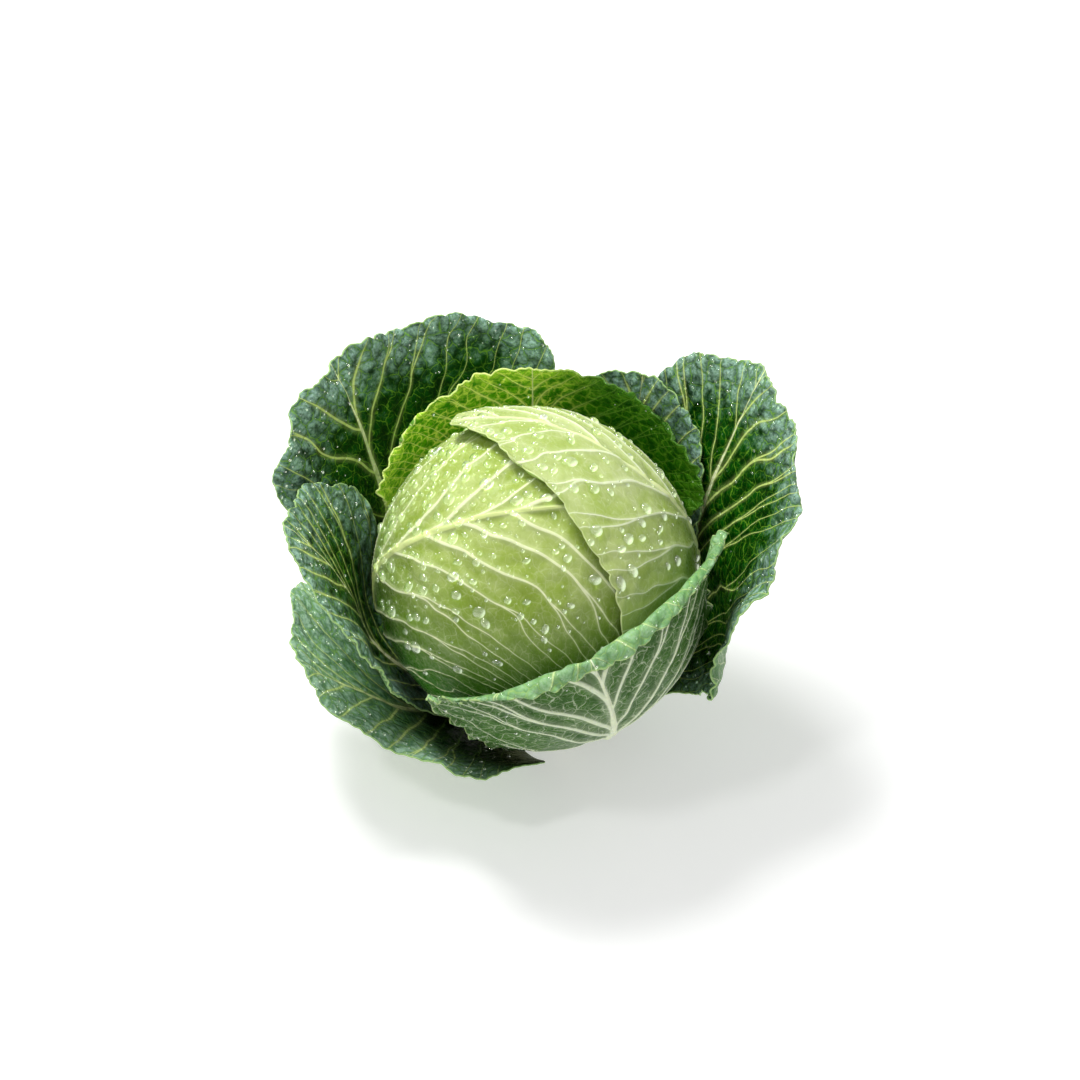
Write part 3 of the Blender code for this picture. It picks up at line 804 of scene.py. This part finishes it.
def add_drops(name, spots, material, rings, around, rng):
    """One piece of closed drops. A spot is a place, its outward direction and the drop's radius."""
    shape, faces = drop_shape(rings, around)
    all_points, all_faces = [], []
    down = np.array([0.0, 0.0, -1.0])
    for place, normal, radius in spots:
        turn = rng.uniform(0, math.pi)
        side = np.cross(normal, [math.cos(turn), math.sin(turn), 0.3])
        side /= np.linalg.norm(side)
        other = np.cross(normal, side)
        sag = (down - normal * (down @ normal)) * DROP_SAG
        stretch = rng.uniform(1.0, 1.25)
        flat = rng.uniform(0.85, 1.05)
        p = shape[:, :1] * side * stretch + shape[:, 1:2] * other / stretch
        p = p + shape[:, 2:] * normal * flat + sag * (0.4 - shape[:, 2:])
        start = len(all_points) * len(shape)
        all_points.append(place + p * radius)
        all_faces += [tuple(dict.fromkeys(start + i for i in face)) for face in faces]
    mesh = bpy.data.meshes.new(name)
    mesh.from_pydata(np.concatenate(all_points).tolist(), [], all_faces)
    mesh.update()
    mesh.shade_smooth()
    return add_piece(mesh, material)


def scatter(rng, leaf_trees, side, weight, count, radii):
    """Random spots on one side of a leaf, likelier where the weight is high, not under a leaf and
    not on top of each other. 'radii' gives the least and the most in mm, and a power that makes
    small ones likelier."""
    chance = (weight / weight.sum()).ravel()
    picks = rng.choice(chance.size, size=count * 3, p=chance)
    places, ways = (grid.reshape(-1, 3) for grid in side)
    spots = []
    low, high, power = radii
    for pick in picks:
        if len(spots) == count:
            break
        radius = (low + (high - low) * rng.uniform()**power) * MM
        place, normal = places[pick], ways[pick]
        start = Vector(place + normal * (radius + 0.6 * MM))
        covered = any(tree.ray_cast(start, Vector(normal), COVER_REACH)[0] for tree in leaf_trees)
        if covered or any(np.linalg.norm(place - q) < radius + r for q, _, r in spots):
            continue
        spots.append((place, normal, radius))
    return spots


# ---- heart and stem
def add_heart(material):
    """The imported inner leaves: a ball with the laps and ribs of the leaves that close over it."""
    bm = bmesh.new()
    bmesh.ops.create_icosphere(bm, subdivisions=6, radius=1.0)
    mesh = bpy.data.meshes.new("fine_heart")
    bm.to_mesh(mesh)
    bm.free()
    way = np.empty(len(mesh.vertices) * 3)
    mesh.vertices.foreach_get("co", way)
    way = way.reshape(-1, 3)
    turn = np.arctan2(way[:, 1], way[:, 0])
    climb = np.arccos(np.clip(-way[:, 2], -1, 1))
    radius = HEART_RADIUS / MM
    # Three leaves lie round it: 'lap' runs from 0 to 1 across each of them
    lap = (turn / (2 * math.pi) * 3 + 0.15 * climb) % 1
    u = (lap - 0.5) * radius * 2.1 * np.sin(climb)
    v = climb * radius
    look = dict(LOOKS["head_leaf_left"], seed=40)
    n, fork, spacing, thick = vein_map(look, u, v, radius * math.pi)
    vein = np.exp(-(vein_distance(n, fork, spacing) / thick)**2)
    rib = np.exp(-(u / look["rib"])**2)
    depth = 1.2 + 0.8 * (1 - lap) - 0.5 * vein - 0.9 * rib + 0.3 * noise(u / 12, v / 12, 41)
    points = way * (HEART_RADIUS - depth * MM)[:, None] + CENTRE
    mesh.vertices.foreach_set("co", points.ravel())
    far_from_margin = 40 + 0 * u
    for name, values in (("leaf", (u, v, far_from_margin)), ("vein", (n, fork, spacing)),
                         ("rib", (np.abs(u) / look["rib"], thick, 0 * u))):
        add_layer(mesh, name, np.stack(values, -1))
    mesh.shade_smooth()
    add_piece(mesh, material, "heart")


def add_stem(material):
    """The cut stump: a sawn foot, a ridged side with old leaf scars and a top inside the head."""
    turns, heights = 180, 60
    turn = np.arange(turns) * 2 * math.pi / turns
    profile = [(r, 0.0) for r in np.linspace(0.4, 0.93, 14)]
    profile += [(0.93 + 0.07 * math.sin(q), STEM_BEVEL * (1 - math.cos(q)))
                for q in np.linspace(0.2, math.pi / 2, 5)]
    profile += [(1.0, z) for z in np.linspace(STEM_BEVEL, STEM_HEIGHT - STEM_BEVEL, heights)]
    profile += [(r, STEM_HEIGHT) for r in np.linspace(0.95, 0.4, 10)]
    # Three rows of scars climb the stem, as the leaves do
    climb = turn / (2 * math.pi) * 3 % 1
    scar_height = FIRST_LEAF_HEIGHT + len(WRAPPER_LEAVES) * LEAF_PITCH * climb
    points = []
    for share, z in profile:
        side = smooth(0.9, 1.0, share) * smooth(0, STEM_FADE, z)
        side *= smooth(STEM_HEIGHT, STEM_HEIGHT - STEM_FADE, z)
        level = turn * 0 + z / MM
        ridges = 0.35 * noise(turn * 9, level / 22, 51) + 0.2 * noise(turn * 26, level / 9, 52)
        scars = 0.7 * np.exp(-(((z - scar_height) / (1.2 * MM))**2))
        radius = share * STEM_RADIUS - side * (0.45 - ridges + 0.3 * scars) * MM
        sawn = z == 0.0 and share < 0.88
        cut = SAW_DEPTH * (noise(turn * 5, turn * 0 + share * 9, 53) + 1) if sawn else 0 * turn
        points.append(np.stack([radius * np.cos(turn), radius * np.sin(turn), z + cut], -1))
    rings = len(points)
    points = np.concatenate(points + [np.array([[0.0, 0.0, SAW_DEPTH], [0.0, 0.0, STEM_HEIGHT]])])
    faces = []
    foot, top = rings * turns, rings * turns + 1
    for j in range(turns):
        after = (j + 1) % turns
        faces.append((foot, after, j))
        for k in range(rings - 1):
            low, high = k * turns, (k + 1) * turns
            faces.append((low + j, low + after, high + after, high + j))
        faces.append((top, (rings - 1) * turns + j, (rings - 1) * turns + after))
    mesh = bpy.data.meshes.new("fine_stem")
    mesh.from_pydata(points.tolist(), [], faces)
    mesh.update()
    mesh.shade_smooth()
    add_piece(mesh, material, "stem")


# ---- the cabbage
def build_leaves():
    """Every leaf as a fine piece. Returns each one's margin distances and sides, search trees of
    them all, and the leaf materials."""
    faces, pieces = {}, []
    materials = {key: leaf_material("skin_" + key, palette) for key, palette in PALETTES.items()}
    for name, form in {**WRAPPER_LEAVES, **CLOSED_LEAVES}.items():
        look = LOOKS[name]
        closed = name in CLOSED_LEAVES
        thickness = HEAD_LEAF_THICKNESS if closed else LEAF_THICKNESS
        start = STEM_RADIUS + GAP + thickness / 2
        if closed:
            radius = HEART_RADIUS + (form["layer"] + 0.5) * HEAD_LEAF_PITCH
            base = (start, HEAD_CENTRE - math.sqrt(radius**2 - start**2))
        else:
            radius = HEAD_RADIUS
            base = (start, FIRST_LEAF_HEIGHT + form["rank"] * LEAF_PITCH)
        leaf = dict(form, radius=radius, base=base)
        mesh, *faces[name] = leaf_sheet("fine_" + name, leaf, look, thickness)
        pieces.append(add_piece(mesh, materials[look["palette"]], name))
    bpy.context.view_layer.update()
    graph = bpy.context.evaluated_depsgraph_get()
    return faces, [BVHTree.FromObject(piece, graph) for piece in pieces], materials


def wet_leaves(faces, trees):
    """Water drops: large and small on the head, fine ones on the open leaves, most near margins."""
    rng = np.random.default_rng(7)
    water = water_material()
    head, fine = [], []
    for name, many in HEAD_DROPS.items():
        margin, outside, _ = faces[name]
        ways = outside[1]
        weight = np.clip(ways[:, :, 2] + 0.35, 0, 1) * smooth(0.5, 4, margin)
        weight = weight * (0.35 + 1.4 * smooth(0.6, 0.97, ways @ WETTEST))
        head += scatter(rng, trees, outside, weight, many, (0.6, 3.6, 2.1))
        fine += scatter(rng, trees, outside, weight, many, (0.2, 0.55, 1.5))
    for name, many in FINE_DROPS.items():
        margin, _, inside = faces[name]
        weight = np.clip(inside[1][:, :, 2] + 0.5, 0, 1) * smooth(0.5, 2, margin)
        weight = weight * (0.06 + smooth(50, 6, margin))
        fine += scatter(rng, trees, inside, weight, many, (0.25, 1.1, 2.5))
    margin, outside, _ = faces["wrapper_leaf_front"]
    weight = np.clip(-outside[1][:, :, 1] + 0.2, 0, 1)
    weight = weight * smooth(1, 6, margin) * smooth(90, 40, margin)
    head += scatter(rng, trees, outside, weight, 26, (0.5, 2.0, 2.5))
    add_drops("drops_large", head, water, 9, 16, rng)
    add_drops("drops_fine", fine, water, 5, 8, rng)


# ---- stage, light and camera
FLOOR_HALF = 40.0                # metres, so that its edge is never seen from the photo's angle
CAMERA_ELEVATION = 45            # degrees above level, looking along +Y
CAMERA_DISTANCE = 1.2
CAMERA_LENS, CAMERA_SENSOR = 78.1, 36    # mm
AIM = (3.6 * MM, 17.9 * MM)      # right of the head's centre and above it, in the camera's plane


def add_stage():
    """A plain pale floor."""
    floor_mesh = bpy.data.meshes.new("floor")
    h = FLOOR_HALF
    floor_mesh.from_pydata([(-h, -h, 0), (h, -h, 0), (h, h, 0), (-h, h, 0)], [], [(0, 1, 2, 3)])
    floor = bpy.data.objects.new("floor", floor_mesh)
    bpy.context.scene.collection.objects.link(floor)
    floor_mesh.materials.append(floor_material())


def add_light(name, place, size, power):
    """A square soft light of that size in metres and power in watts, aimed at the head."""
    data = bpy.data.lights.new(name, "AREA")
    data.size = size
    data.energy = power
    light = bpy.data.objects.new(name, data)
    light.location = place
    aim = Vector((0, 0, HEAD_CENTRE)) - Vector(place)
    light.rotation_euler = aim.to_track_quat("-Z", "Y").to_euler()
    bpy.context.scene.collection.objects.link(light)


def add_world(strength):
    """Even white light from all sides."""
    world = bpy.data.worlds.new("studio")
    world.use_nodes = True
    world.node_tree.nodes["Background"].inputs["Color"].default_value = (1, 1, 1, 1)
    world.node_tree.nodes["Background"].inputs["Strength"].default_value = strength
    bpy.context.scene.world = world


def add_camera():
    """The photo's view: from the front, looking down on the head."""
    elevation = math.radians(CAMERA_ELEVATION)
    ahead = Vector((0, math.cos(elevation), -math.sin(elevation)))
    up = Vector((0, math.sin(elevation), math.cos(elevation)))
    centre = Vector((0, 0, HEAD_CENTRE))
    target = centre + Vector((AIM[0], 0, 0)) + up * AIM[1]
    data = bpy.data.cameras.new("camera")
    data.sensor_width = CAMERA_SENSOR
    data.lens = CAMERA_LENS
    camera = bpy.data.objects.new("camera", data)
    camera.location = centre - ahead * CAMERA_DISTANCE
    camera.rotation_euler = (target - camera.location).to_track_quat("-Z", "Y").to_euler()
    bpy.context.scene.collection.objects.link(camera)
    bpy.context.scene.camera = camera


bpy.context.scene.view_settings.view_transform = "Standard"
add_camera()
add_stage()
add_world(0.48)
add_light("key", (-0.35, 0.5, 1.35), 0.5, 19)
add_light("spark", (-0.6, -0.4, 1.3), 0.14, 3)
add_light("fill", (0.4, -1.3, 0.9), 0.9, 2.5)
faces, trees, materials = build_leaves()
add_heart(materials["head"])
add_stem(stem_material())
wet_leaves(faces, trees)
